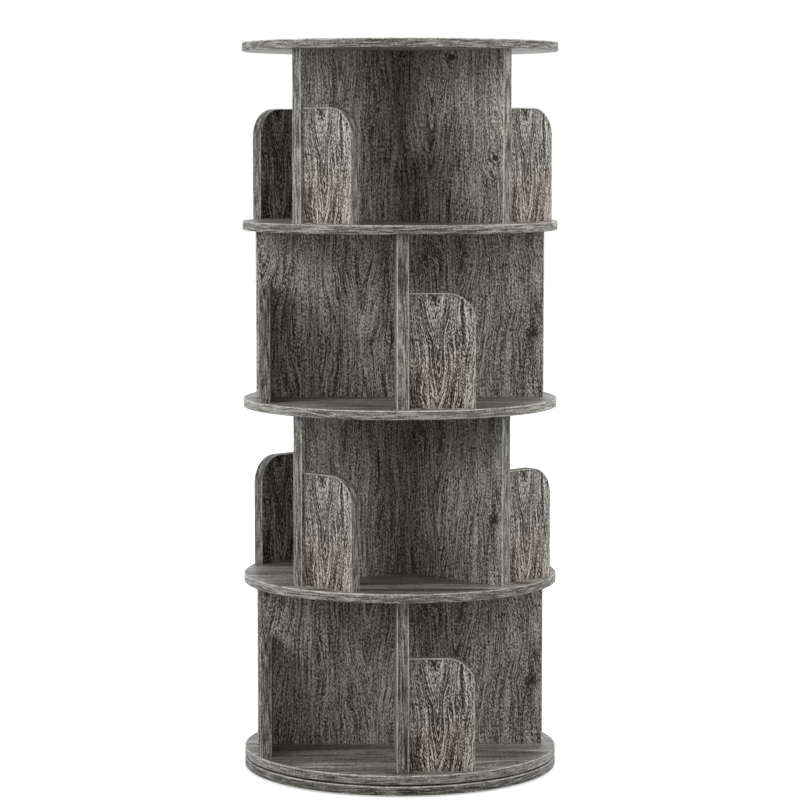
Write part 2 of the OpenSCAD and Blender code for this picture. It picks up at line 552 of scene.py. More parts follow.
class Graph:
    """The nodes of one material, or of the sky."""

    def __init__(self, owner: bpy.types.Material | bpy.types.World) -> None:
        """Clears the owner's nodes."""
        owner.use_nodes = True
        self.owner = owner
        self.tree = owner.node_tree
        self.tree.nodes.clear()

    @classmethod
    def named(cls, name: str) -> "Graph":
        """Starts a new material of that name."""
        return cls(bpy.data.materials.new(name))

    def node(
        self,
        kind: str,
        settings: Mapping[str, object],
        sockets: Mapping[str | int, object],
        out: str | int = 0,
    ) -> Wire:
        """Adds a node.

        Args:
            kind: The node's type.
            settings: Its settings, set first; a ramp's stops are pairs of place and colour.
            sockets: Values or wires for its inputs, by name or place.
            out: The output to give back.

        Returns:
            That output.
        """
        made = self.tree.nodes.new(kind)
        for key, value in settings.items():
            if key == "stops":
                self.set_stops(made.color_ramp, value)
            else:
                setattr(made, key, value)
        for key, value in sockets.items():
            if isinstance(value, Wire):
                self.tree.links.new(value.socket, made.inputs[key])
            else:
                made.inputs[key].default_value = value
        return Wire(self, made.outputs[out] if len(made.outputs) else None)

    @staticmethod
    def set_stops(ramp: bpy.types.ColorRamp, stops: Stops) -> None:
        """Gives a ramp its stops.

        Args:
            ramp: The ramp.
            stops: Pairs of place and colour, from the lowest place up.
        """
        while len(ramp.elements) > 1:
            ramp.elements.remove(ramp.elements[-1])
        ramp.elements[0].position, ramp.elements[0].color = stops[0]
        for place, colour in stops[1:]:
            ramp.elements.new(place).color = colour

    def decor(self) -> tuple[Wire, Wire]:
        """Where a point lies on the print: across the grain, and along it."""
        spot = self.node("ShaderNodeUVMap", {"uv_map": DECOR_MAP}, {})
        across = self.node("ShaderNodeSeparateXYZ", {}, {0: spot})
        return across, across.other(1)

    def place(self) -> Wire:
        """The place of a point in the object's own frame."""
        return self.node("ShaderNodeTexCoord", {}, {}, "Object")

    def cloud(self, at: Wire, scale: float, detail: float, rough: float = NOISE_ROUGH) -> Wire:
        """Smooth noise between nought and one at a place in space."""
        values = {"Vector": at, "Scale": scale, "Detail": detail, "Roughness": rough}
        return self.node("ShaderNodeTexNoise", {"noise_dimensions": "3D"}, values)

    def noise(
        self,
        u: Wire,
        v: Wire,
        size: Pair,
        seed: float | Wire,
        detail: float = NOISE_DETAIL,
        rough: float = NOISE_ROUGH,
    ) -> Wire:
        """Smooth noise between nought and one, in grains of a given size on the print.

        Args:
            u: Place across the grain.
            v: Place along the grain.
            size: Width and length of a grain of the noise.
            seed: Tells one noise from another; a wire makes the noise drift into another over the print.
            detail: How many finer layers are added.
            rough: Weight of the finer layers.

        Returns:
            The noise.
        """
        at = self.node("ShaderNodeCombineXYZ", {}, {0: u / size[0], 1: v / size[1], 2: seed})
        return self.cloud(at, 1.0, detail, rough)

    def swing(self, u: Wire, v: Wire, size: Pair, seed: float | Wire, **layers: float) -> Wire:
        """The same noise, moved to lie about nought."""
        return self.noise(u, v, size, seed, **layers) - NOISE_MIDDLE

    def ramp(self, value: Wire, stops: Stops) -> Wire:
        """The colour that a ramp has at a value."""
        return self.node("ShaderNodeValToRGB", {"stops": stops}, {0: value})

    def blend(self, share: Wire, first: Wire | Colour, second: Wire | Colour) -> Wire:
        """Mixes a share of the second colour into the first."""
        settings = {"data_type": "RGBA", "blend_type": "MIX"}
        sockets = {0: share, MIX_FIRST: first, MIX_SECOND: second}
        return self.node("ShaderNodeMix", settings, sockets, MIX_RESULT)

    def finish(self, sockets: Mapping[str, object], height: Wire, relief: float) -> bpy.types.Material:
        """Ends the graph in a Principled shader.

        Args:
            sockets: Values or wires for the shader.
            height: Relief of the surface, from nought to one.
            relief: What a height of one stands for.

        Returns:
            The material.
        """
        bump = {"Strength": 1.0, "Distance": relief, "Height": height}
        normal = self.node("ShaderNodeBump", {}, bump)
        shader = self.node("ShaderNodeBsdfPrincipled", {}, {**sockets, "Normal": normal})
        self.node("ShaderNodeOutputMaterial", {}, {"Surface": shader})
        return self.owner


@dataclass(frozen=True)
class OakPrint:
    """A printed weathered grey oak: arched growth lines, broad bands, wavy fibres, grit and a few knots.

    Each share says how far that part of the figure moves the tone, from dark at 0 to pale at 1. The lean is
    the change of tone per metre across the grain, about LEAN_AT. The print is brown below a height, if given.
    """

    name: str
    tones: tuple[str, str, str, str, str]
    middle: float = 0.56
    lean: float = 0.0
    drift: float = 0.40
    bands: float = 0.25
    lines: float = 0.08
    gleams: float = 0.04
    fibres: float = 1.2
    grit: float = 1.0
    rise: float = 0.007
    wander: float = 1.0
    line_size: Pair = (0.0065, 0.20)
    fibre_size: Pair = (0.0012, 0.060)
    warmth: float = 0.35
    brown_below: float | None = None
    gloss: float = 0.25
    roughness: Pair = (0.42, 0.62)
    relief: float = 0.00012
    seed: float = 0.0
    knots: tuple[Pair, ...] = ()

    LEAN_AT = 0.083
    # The arches that the growth lines make: their spacing, how sharp they are, and how far they spread.
    HEART_PITCH = 0.150
    ARCH_TIP = 0.0025
    ARCH_REACH = 0.040
    ARCH_PITCH = 0.62
    ARCH_AT = 0.067
    # Where a line and a gleam lie in the growth noise, how wide they are, and how soon they change.
    LINE_AT = 0.50
    LINE_EDGES = (0.050, 0.020)
    GLEAM_AT = 0.63
    GLEAM_EDGES = (0.060, 0.010)
    LINE_DRIFT = 0.15
    FIBRE_DRIFT = 0.05
    FIBRE_ROUGH = 0.6
    BAND_SIZE = (0.030, 0.40)
    DRIFT_SIZE = (0.060, 0.25)
    GRIT_SIZE = (0.0013, 0.0045)
    GRIT_SKEW = 0.0040
    # How far the grain wanders, in long waves and in short ones.
    SWAY_SIZE = (0.060, 0.150)
    SWAY = 0.029
    RIPPLE_SIZE = (0.018, 0.045)
    RIPPLE = 0.009
    # Brown clouds, and the ragged edge of the brown part of a print.
    CLOUD_SIZE = (0.060, 0.110)
    CLOUD_EDGES = (0.50, 0.75)
    CLOUD_SHARE = 0.3
    BROWN = 4
    BROWN_FRAY = 0.08
    BROWN_EDGE = 0.03
    # A knot's half width and length, its ragged outline, and how it pushes the grain aside.
    KNOT_HALF = (0.0066, 0.0042)
    KNOT_FRAY = (0.004, 0.004)
    KNOT_RAGGED = 0.5
    KNOT_EDGES = (1.35, 0.65)
    KNOT_REACH = 10.0
    KNOT_PUSH = 0.75
    KNOT_COLOUR = "1e1914"

    def swayed(self, graph: Graph, u: Wire, v: Wire) -> Wire:
        """The place across the grain, moved aside by two noises about nought, each times its reach.

        Args:
            graph: The material's nodes.
            u: Place across the board.
            v: Place along the grain.

        Returns:
            The place across the grain.
        """
        sway = graph.swing(u, v, self.SWAY_SIZE, Layer.SWAY.value)
        ripple = graph.swing(u, v, self.RIPPLE_SIZE, Layer.RIPPLE.value)
        return u + sway * (self.SWAY * self.wander) + ripple * (self.RIPPLE * self.wander)

    def knot(self, graph: Graph, u: Wire, v: Wire, at: Pair) -> tuple[Wire, Wire]:
        """A dark ellipse that lies across the grain, and how strongly it pushes the grain aside.

        Args:
            graph: The material's nodes.
            u: Place across the board.
            v: Place along the grain.
            at: The knot's place on the print.

        Returns:
            Its darkness, and its push, which falls off with the square of the distance.
        """
        across = (u - at[0]) / self.KNOT_HALF[0]
        along = (v - at[1]) / self.KNOT_HALF[1]
        ragged = graph.swing(u, v, self.KNOT_FRAY, Layer.KNOTS.value, detail=2.0)
        away = (across * across + along * along) ** 0.5 + ragged * self.KNOT_RAGGED
        push = (away * away / self.KNOT_REACH).fade()
        return away.step(*self.KNOT_EDGES), push

    def ring(self, across: Wire, v: Wire) -> Wire:
        """Which growth ring a point lies on.

        With d the distance from the nearest heart line, it is the root of d squared and the tip squared,
        less a wave along the grain that fades with the square of d over its reach.

        Args:
            across: Place across the grain.
            v: Place along the grain.

        Returns:
            The ring, as a distance.
        """
        heart = ((across / self.HEART_PITCH).fraction() - 0.5) * self.HEART_PITCH
        rise = ((v - self.ARCH_AT) * (TURN / self.ARCH_PITCH)).sine() * self.rise
        reach = (heart * heart / self.ARCH_REACH**2).fade()
        return (heart * heart + self.ARCH_TIP**2) ** 0.5 - rise * reach

    def tone(self, graph: Graph, u: Wire, v: Wire, across: Wire) -> Wire:
        """How pale the print is: the middle tone plus each part of the figure times its share.

        Args:
            graph: The material's nodes.
            u: Place across the board.
            v: Place along the grain.
            across: Place across the grain.

        Returns:
            The tone, from dark at 0 to pale at 1.
        """
        ring = self.ring(across, v)
        line_seed = u / self.LINE_DRIFT + (Layer.LINES.value + self.seed)
        growth = graph.noise(ring, v, self.line_size, line_seed)
        line = (growth - self.LINE_AT).size().step(*self.LINE_EDGES)
        gleam = (growth - self.GLEAM_AT).size().step(*self.GLEAM_EDGES)
        band = graph.swing(ring, v, self.BAND_SIZE, Layer.BANDS.value + self.seed)
        fibre_seed = u / self.FIBRE_DRIFT + Layer.FIBRES.value
        fibre = graph.swing(ring, v, self.fibre_size, fibre_seed, rough=self.FIBRE_ROUGH)
        grit = graph.swing(across, v, self.GRIT_SIZE, (u + v) / self.GRIT_SKEW, detail=0.0)
        drift = graph.swing(u, v, self.DRIFT_SIZE, Layer.DRIFT.value + self.seed)
        tone = drift * self.drift + band * self.bands + fibre * self.fibres + grit * self.grit + self.middle
        return tone - line * self.lines + gleam * self.gleams + (u - self.LEAN_AT) * self.lean

    def shade(self, graph: Graph, tone: Wire, brown: int) -> Wire:
        """The colour of a tone, from the dark tones to the pale ones, all as brown as asked."""
        places = np.linspace(0.0, 1.0, len(self.tones)).tolist()
        return graph.ramp(tone, [(at, srgb(code, brown)) for at, code in zip(places, self.tones)])

    def colour(self, graph: Graph, u: Wire, v: Wire, tone: Wire) -> Wire:
        """The colour of a tone, browner in clouds and below a height, if given.

        Args:
            graph: The material's nodes.
            u: Place across the board.
            v: Place along the grain.
            tone: How pale the print is.

        Returns:
            The colour.
        """
        clouds = graph.noise(u, v, self.CLOUD_SIZE, Layer.CLOUDS.value, detail=2.0)
        brown = clouds.step(*self.CLOUD_EDGES)
        if self.brown_below is not None:
            height = v + (clouds - NOISE_MIDDLE) * self.BROWN_FRAY
            edges = (self.brown_below + self.BROWN_EDGE, self.brown_below - self.BROWN_EDGE)
            brown = brown * self.CLOUD_SHARE + height.step(*edges)
        plain, warm = (self.shade(graph, tone, shift) for shift in (0, self.BROWN))
        return graph.blend(brown * self.warmth, plain, warm)

    def material(self) -> bpy.types.Material:
        """Builds the print's material.

        Returns:
            The material, which reads the board's own place on the print.
        """
        graph = Graph.named(self.name)
        u, v = graph.decor()
        across = self.swayed(graph, u, v)
        dark = None
        for at in self.knots:
            spot, push = self.knot(graph, u, v, at)
            across = across - (u - at[0]) * push * self.KNOT_PUSH
            dark = spot if dark is None else dark.most(spot)
        tone = self.tone(graph, u, v, across)
        colour = self.colour(graph, u, v, tone)
        if dark is not None:
            colour = graph.blend(dark, colour, srgb(self.KNOT_COLOUR))
        low, high = self.roughness
        rough = high - tone * (high - low)
        sockets = {"Base Color": colour, "Roughness": rough, "Specular IOR Level": self.gloss}
        return graph.finish(sockets, tone, self.relief)


@dataclass(frozen=True)
class Metal:
    """A bright metal with a faint grain and stains that dull it."""

    name: str
    shades: Pair
    roughness: Pair
    grain: float

    STAIN_SCALE = 60.0
    STAIN_SHARE = 0.7
    COOLNESS = 1.01
    PLACES = (0.3, 0.7)
    RELIEF = 0.00002

    def material(self) -> bpy.types.Material:
        """Builds the material from two clouds of different size.

        Returns:
            The material.
        """
        graph = Graph.named(self.name)
        place = graph.place()
        stain = graph.cloud(place, self.STAIN_SCALE, detail=3.0)
        grain = graph.cloud(place, 1.0 / self.grain, detail=2.0)
        shades = ((shade, shade, shade * self.COOLNESS, 1.0) for shade in self.shades)
        mottle = stain * self.STAIN_SHARE + grain * (1.0 - self.STAIN_SHARE)
        colour = graph.ramp(mottle, list(zip(self.PLACES, shades)))
        rough = self.roughness[0] + stain * (self.roughness[1] - self.roughness[0])
        sockets = {"Base Color": colour, "Roughness": rough, "Metallic": 1.0}
        return graph.finish(sockets, grain, self.RELIEF)


@dataclass(frozen=True)
class Fibre:
    """A matt stuff of fine fibres or grains, such as felt, moulded plastic, plain wood or pressed chips."""

    name: str
    tones: tuple[str, str, str]
    size: Spot
    roughness: Pair
    relief: float
    coarse: float = 0.6

    PLACES = (0.3, 0.5, 0.7)

    def material(self) -> bpy.types.Material:
        """Builds the material from one cloud, stretched to the size of its fibres.

        Returns:
            The material.
        """
        graph = Graph.named(self.name)
        stretch = tuple(1.0 / length for length in self.size)
        at = graph.node("ShaderNodeMapping", {"vector_type": "POINT"}, {0: graph.place(), 3: stretch})
        fibres = graph.cloud(at, 1.0, detail=3.0, rough=self.coarse)
        colour = graph.ramp(fibres, [(place, srgb(code)) for place, code in zip(self.PLACES, self.tones)])
        rough = self.roughness[0] + fibres * (self.roughness[1] - self.roughness[0])
        return graph.finish({"Base Color": colour, "Roughness": rough}, fibres, self.relief)


class DividerPrint:
    """Where each divider is cut from the print."""

    KNOTS = ((0.035, 0.0), (2.0, 0.0), (1.915, 0.143))
    KNOT_ON_BOARD = (0.1865, 0.092)
    WITH_KNOT = {(1, 1): 0, (3, 1): 0, (2, 4): 0, (4, 4): 1}
    PLAIN_FROM = 3.0
    STEP = (0.47, 0.61)

    @classmethod
    def start(cls, tier: int, arm: int) -> Pair:
        """The place on the print of a divider's lower inner corner.

        Args:
            tier: Its tier, counted from the bottom.
            arm: Its arm.

        Returns:
            The place: a step further for each board, or where the board's knot falls on it.
        """
        knot = cls.WITH_KNOT.get((tier, arm))
        if knot is None:
            count = tier * ARMS + arm
            return (cls.PLAIN_FROM + cls.STEP[0] * count, cls.STEP[1] * count)
        return tuple(k - b for k, b in zip(cls.KNOTS[knot], cls.KNOT_ON_BOARD))


OAK_TONES = ("17140e", "403c35", "6e6b64", "9d9a93", "cfccc5")
BAND_TONES = ("1f1d19", "45423c", "6a6861", "8d8b84", "b1afa9")
# Pale tones for the rounded edges: a painted highlight along them.
EDGE_HIGHLIGHT_TONES = ("5a5650", "84807a", "aaa6a0", "c7c4be", "dddad5")
CHIP_TONES = ("6d5942", "a08864", "c3ad86")
NYLON_TONES = ("cfccc2", "dddbd2", "e8e6df")
FELT_TONES = ("1d1c1b", "2b2a29", "3b3a38")
BEECH_TONES = ("a9835a", "c39d6f", "d5b78d")


class Finishes:
    """The materials of the bookcase, each built once."""

    def __init__(self) -> None:
        """Builds the prints, the edge bands and the finishes of the hidden pieces."""
        wall = OakPrint(
            "divider_print", OAK_TONES, middle=0.60, lines=0.22, gleams=0.05, fibres=1.6, grit=1.6,
            rise=0.016, warmth=0.9, knots=DividerPrint.KNOTS,
        ).material()
        stop = OakPrint(
            "stop_print", OAK_TONES, middle=0.485, lean=2.6, drift=0.3, lines=0.36, gleams=0.05, fibres=3.0,
            grit=2.1, rise=0.018, warmth=1.0, brown_below=0.090, seed=21.3,
        ).material()
        shelf = OakPrint(
            "shelf_print", OAK_TONES, middle=0.56, drift=0.6, bands=0.6, lines=0.25, gleams=0.20,
            line_size=(0.016, 0.40), gloss=0.4, roughness=(0.36, 0.50), relief=0.00006,
        ).material()
        band_print = OakPrint(
            "edge_band", BAND_TONES, middle=0.49, bands=0.5, fibres=2.2, rise=0.0, wander=0.3,
            fibre_size=(0.0017, 0.030), warmth=0.1, roughness=(0.4, 0.5),
        )
        band = band_print.material()
        rim = replace(band_print, name="rim_band", middle=0.60).material()
        # The base plate's rim is printed darker than the shelf rims: painted shade under the bottom shelf.
        shaded_base_rim = replace(band_print, name="base_band_painted_shade", middle=0.39).material()
        # The rounded edges carry a painted highlight: these pale tones on the dividers and shelf rims, a
        # little darker ones on the book stops.
        edge_highlight_print = OakPrint(
            "painted_edge_highlight", EDGE_HIGHLIGHT_TONES, rise=0.0, wander=0.3, fibre_size=(0.0018, 0.020), warmth=0.0,
            relief=0.00006,
        )
        ease = edge_highlight_print.material()
        dull = replace(edge_highlight_print, name="painted_dim_edge_highlight", middle=0.50).material()
        core = Fibre(
            "bare_board", CHIP_TONES, size=(0.0022,) * 3, roughness=(0.9, 0.75), relief=0.0003,
            coarse=NOISE_ROUGH,
        ).material()
        self.divider = (wall, band, ease, core)
        self.stop = (stop, band, dull, core)
        self.shelf = (shelf, rim, ease, core)
        self.base = (shelf, shaded_base_rim, ease, core)
        zinc = Metal("zinc_plate", shades=(0.38, 0.60), roughness=(0.30, 0.50), grain=0.0012).material()
        steel = Metal("screw_steel", shades=(0.42, 0.58), roughness=(0.25, 0.42), grain=0.0005).material()
        ball = Metal("ball_steel", shades=(0.66, 0.78), roughness=(0.06, 0.14), grain=0.0008).material()
        nylon = Fibre(
            "nylon", NYLON_TONES, size=(0.002,) * 3, roughness=(0.42, 0.52), relief=0.00002
        ).material()
        felt = Fibre(
            "felt", FELT_TONES, size=(0.0008,) * 3, roughness=(0.92, 1.0), relief=0.0003
        ).material()
        beech = Fibre(
            "beech", BEECH_TONES, size=(0.001, 0.001, 0.02), roughness=(0.6, 0.75), relief=0.0001
        ).material()
        self.kept = {
            "foot_pads": felt,
            "outer_race": zinc,
            "inner_race": zinc,
            "outer_race_screws": steel,
            "inner_race_screws": steel,
            "divider_screws": steel,
            "bearing_balls": ball,
            "ball_retainer": nylon,
            "divider_dowels": beech,
            "stop_dowels": beech,
        }

    def dress_kept(self) -> None:
        """Gives each piece that stays as the frame has it a better finish."""
        for node, material in self.kept.items():
            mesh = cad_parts[node].data
            mesh.materials.clear()
            mesh.materials.append(material)
            log.info("%s is finished in %s", node, material.name)


@dataclass(frozen=True)
class Fastening:
    """Sizes of the screws and dowels, and where they sit in a divider and its book stop."""

    end: float = 0.030
    screw_radius: float = 0.0025
    screw_length: float = 0.050
    head_radius: float = 0.005
    head_height: float = 0.003
    dowel_radius: float = 0.004
    dowel_length: float = 0.030
    dowel_seat: float = 0.008
    stop_dowel_radius: float = 0.003
    stop_dowel_length: float = 0.024
    stop_dowel_end: float = 0.040
    gap: float = 0.0001

    def screw_steps(self, depth: float) -> tuple[Pair, ...]:
        """A countersunk hole: the head's cone, then the shank's bore to a depth."""
        shank = self.screw_radius + self.gap
        return ((self.head_radius + self.gap, 0.0), (shank, self.head_height), (shank, depth))

    def plain_steps(self, radius: float, depth: float) -> tuple[Pair, ...]:
        """A straight hole with the fastening's clearance."""
        return ((radius + self.gap, 0.0), (radius + self.gap, depth + self.gap))


class Sizes:
    """The sizes that the pieces of the bookcase share, read from the frame."""

    def __init__(self) -> None:
        """Reads the boards of the lowest tier, whose first arm lies along +X."""
        self.fastening = Fastening()
        low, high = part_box("divider_1_1")
        self.inner, self.outer = low.x, high.x
        self.thickness = high.y - low.y
        low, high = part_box("shelf_2")
        self.board = high.z - low.z
        low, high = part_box("book_stop_1_1")
        self.stop_inner, self.stop_outer = low.x, high.x
        self.stop_width = high.y - low.y
        self.stop_height = high.z - low.z
        self.stop_middle = (self.stop_inner + self.stop_outer) / 2
        end = self.fastening.stop_dowel_end
        self.stop_dowel_rises = (end, self.stop_height - end)
        self.fixing_radii = (self.inner + self.fastening.end, self.outer - self.fastening.end)

    @staticmethod
    def floor(tier: int) -> float:
        """Height of the shelf face that a tier stands on."""
        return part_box(f"divider_{tier}_1")[0].z

    @staticmethod
    def ceiling(tier: int) -> float:
        """Height of the underside of the board over a tier."""
        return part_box(f"divider_{tier}_1")[1].z

    def fixing_bores(self, height: float, radius: float, depth: float) -> list[Bore]:
        """The two holes in an end of a divider, for its screws or its dowels."""
        steps = self.fastening.plain_steps(radius, depth)
        return [Bore((at, 0.0, height), steps) for at in self.fixing_radii]

    def stop_dowel_bores(self, floor: float) -> list[Bore]:
        """The two holes where a book stop meets its divider, each half as deep as the dowel is long.

        Args:
            floor: Height of the shelf that both stand on.

        Returns:
            The holes, which open on the divider's side.
        """
        fix = self.fastening
        steps = fix.plain_steps(fix.stop_dowel_radius, fix.stop_dowel_length / 2)
        side = self.thickness / 2
        return [Bore((self.stop_middle, side, floor + rise), steps) for rise in self.stop_dowel_rises]


@dataclass(frozen=True)
class Recess:
    """A ring-shaped pocket in a face of a round board."""

    inner: float
    outer: float
    depth: float


@dataclass
class RoundBoard:
    """A round board with a rounded rim, its pocket and its drilled holes."""

    node: str
    body: str
    slot: str
    decor_at: Pair
    ease: float = 0.0015
    recess: dict[Side, Recess] = field(default_factory=dict)
    bores: dict[Side, list[Bore]] = field(default_factory=dict)

    def __post_init__(self) -> None:
        """Takes the board's radius and heights from the frame."""
        low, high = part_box(self.node)
        self.radius = high.x
        self.lower, self.upper = low.z, high.z

    def rim(self) -> Iterator[Patch]:
        """The rim: a profile of two quarter rounds and a straight between them, turned about the axis.

        Yields:
            The lower round, the band and the upper round.
        """
        inside = self.radius - self.ease
        lower = arc((inside, self.lower + self.ease), self.ease, -QUARTER, 0.0, EASE_STEPS)
        upper = arc((inside, self.upper - self.ease), self.ease, 0.0, QUARTER, EASE_STEPS)
        middle = np.stack([lower[-1], upper[0]])
        spoke = circle(1.0, RIM_SIDES, QUARTER, closed=True)
        around = np.linspace(0.0, TURN * self.radius, RIM_SIDES + 1)
        # The upper round takes the pale edge finish, a painted highlight where light falls from above; the
        # lower round keeps the band's tone.
        for profile, finish in ((lower, Finish.BAND), (middle, Finish.BAND), (upper, Finish.EASE)):
            reach, height = profile.T
            points = together(spoke[:, :1] * reach, spoke[:, 1:] * reach, height)
            decor = together(self.decor_at[0] + height, self.decor_at[1] + around[:, None])
            yield grid_patch(points, decor, finish)

    def face(self, side: Side) -> Iterator[Patch]:
        """One face: a disc, or a disc, a sunk ring and an outer ring, with the walls between them.

        Args:
            side: The face to make.

        Yields:
            Its patches.
        """
        level = self.upper if side is Side.TOP else self.lower
        edge = self.radius - self.ease
        pocket = self.recess.get(side)
        zones = [(0.0, edge, 0.0)]
        if pocket:
            zones = [
                (0.0, pocket.inner, 0.0),
                (pocket.inner, pocket.outer, pocket.depth),
                (pocket.outer, edge, 0.0),
            ]
        for inner, outer, depth in zones:
            plane = Plane.level(level - side.value * depth, side)
            bores = [bore for bore in self.bores.get(side, []) if inner < math.hypot(*bore.at[:2]) < outer]
            holes = [circle(inner, RIM_SIDES, QUARTER)] if inner else []
            outline = circle(outer, RIM_SIDES, QUARTER)
            yield from drilled_face(plane, outline, bores, self.decor_at, Finish.FACE, Grain.LYING, holes)
        if pocket:
            yield from self.pocket_walls(level, side, pocket)

    def pocket_walls(self, level: float, side: Side, pocket: Recess) -> Iterator[Patch]:
        """The two upright walls of a pocket, each a circle carried through its depth.

        Args:
            level: Height of the face that the pocket is in.
            side: That face.
            pocket: The pocket.

        Yields:
            The inner wall and the outer wall.
        """
        low, high = sorted((level, level - side.value * pocket.depth))
        inside = circle(pocket.inner, RIM_SIDES, QUARTER, closed=True)
        outside = circle(pocket.outer, RIM_SIDES, QUARTER, closed=True)[::-1]
        for wall in (inside, outside):
            yield prism(wall, low, high, self.decor_at, Finish.CORE)

    def build(self, finishes: Sequence[bpy.types.Material]) -> bpy.types.Object:
        """Builds the board and sets it in place of its node.

        Args:
            finishes: The materials, in the order of Finish.

        Returns:
            The piece.
        """
        shell = Shell(self.node + LAMINATE)
        shell.add(self.rim()).add(self.face(Side.TOP)).add(self.face(Side.UNDER))
        return stand_in(shell.build(finishes), self.node, self.body, self.slot)


@dataclass
class Upright:
    """A board that stands on one arm of a tier, drawn as if that arm lay along +X."""

    tier: int
    arm: int
    angle: float
    sizes: Sizes

    KIND = ""
    SLOT = ""

    @property
    def node(self) -> str:
        """The name of the board in the frame."""
        return f"{self.KIND}_{self.tier}_{self.arm}"

    def patches(self) -> Iterator[Patch]:
        """The board's surface, which each kind of board gives."""
        raise NotImplementedError

    def build(self, finishes: Sequence[bpy.types.Material]) -> bpy.types.Object:
        """Turns the board to its arm and sets it in place of its node.

        Args:
            finishes: The materials, in the order of Finish.

        Returns:
            The piece.
        """
        shell = Shell(self.node + LAMINATE).add(self.patches()).turn(self.angle)
        return stand_in(shell.build(finishes), self.node, "bookcase", self.SLOT)


@dataclass
class Divider(Upright):
    """An upright divider: a board with its two outer edges rounded, drilled at its ends and its side."""

    ease: float = 0.0015

    KIND = "divider"
    SLOT = "divider_board"

    def section(self) -> list[tuple[Array, Finish]]:
        """The board's outline from above: a rectangle whose two outer corners are quarter rounds.

        Returns:
            Its stretches with their finishes, from its inner end round.
        """
        half, near, far = self.sizes.thickness / 2, self.sizes.inner, self.sizes.outer
        first = arc((far - self.ease, self.ease - half), self.ease, -QUARTER, 0.0, EASE_STEPS)
        second = arc((far - self.ease, half - self.ease), self.ease, 0.0, QUARTER, EASE_STEPS)
        # The two rounds take the pale edge finish, a painted highlight along the board's outer edges.
        return [
            (np.array([(near, -half), first[0]]), Finish.FACE),
            (first, Finish.EASE),
            (np.stack([first[-1], second[0]]), Finish.BAND),
            (second, Finish.EASE),
            (np.array([second[-1], (near, half)]), Finish.FACE),
            (np.array([(near, half), (near, -half)]), Finish.CORE),
        ]

    def patches(self) -> Iterator[Patch]:
        """The board's outline carried up from shelf to shelf, with the print running on round it.

        Yields:
            Its sides, its upper end and its lower end.
        """
        low, high = self.sizes.floor(self.tier), self.sizes.ceiling(self.tier)
        start = DividerPrint.start(self.tier, self.arm)
        stretches = self.section()
        run = 0.0
        for line, finish in stretches:
            at = (start[0] + run, start[1])
            length = run_length(line)[-1]
            if finish is Finish.EASE:
                yield prism(line, low, high, at, finish)
            else:
                away = (line[1] - line[0]) / length
                plane = Plane(np.array([*line[0], low]), np.array([*away, 0.0]), Z_AXIS)
                bores = self.sizes.stop_dowel_bores(low) if away[0] < 0 else []
                yield from drilled_face(plane, rectangle(length, high - low), bores, at, finish)
            run += length
        outline = np.concatenate([line[:-1] for line, _ in stretches])
        fix = self.sizes.fastening
        over = self.sizes.fixing_bores(high, fix.dowel_radius, fix.dowel_length - fix.dowel_seat)
        under = self.sizes.fixing_bores(low, fix.screw_radius, fix.screw_length - self.sizes.board)
        yield from drilled_face(Plane.level(high, Side.TOP), outline, over, start, Finish.CORE)
        yield from drilled_face(Plane.level(low, Side.UNDER), outline * (1, -1), under, start, Finish.CORE)


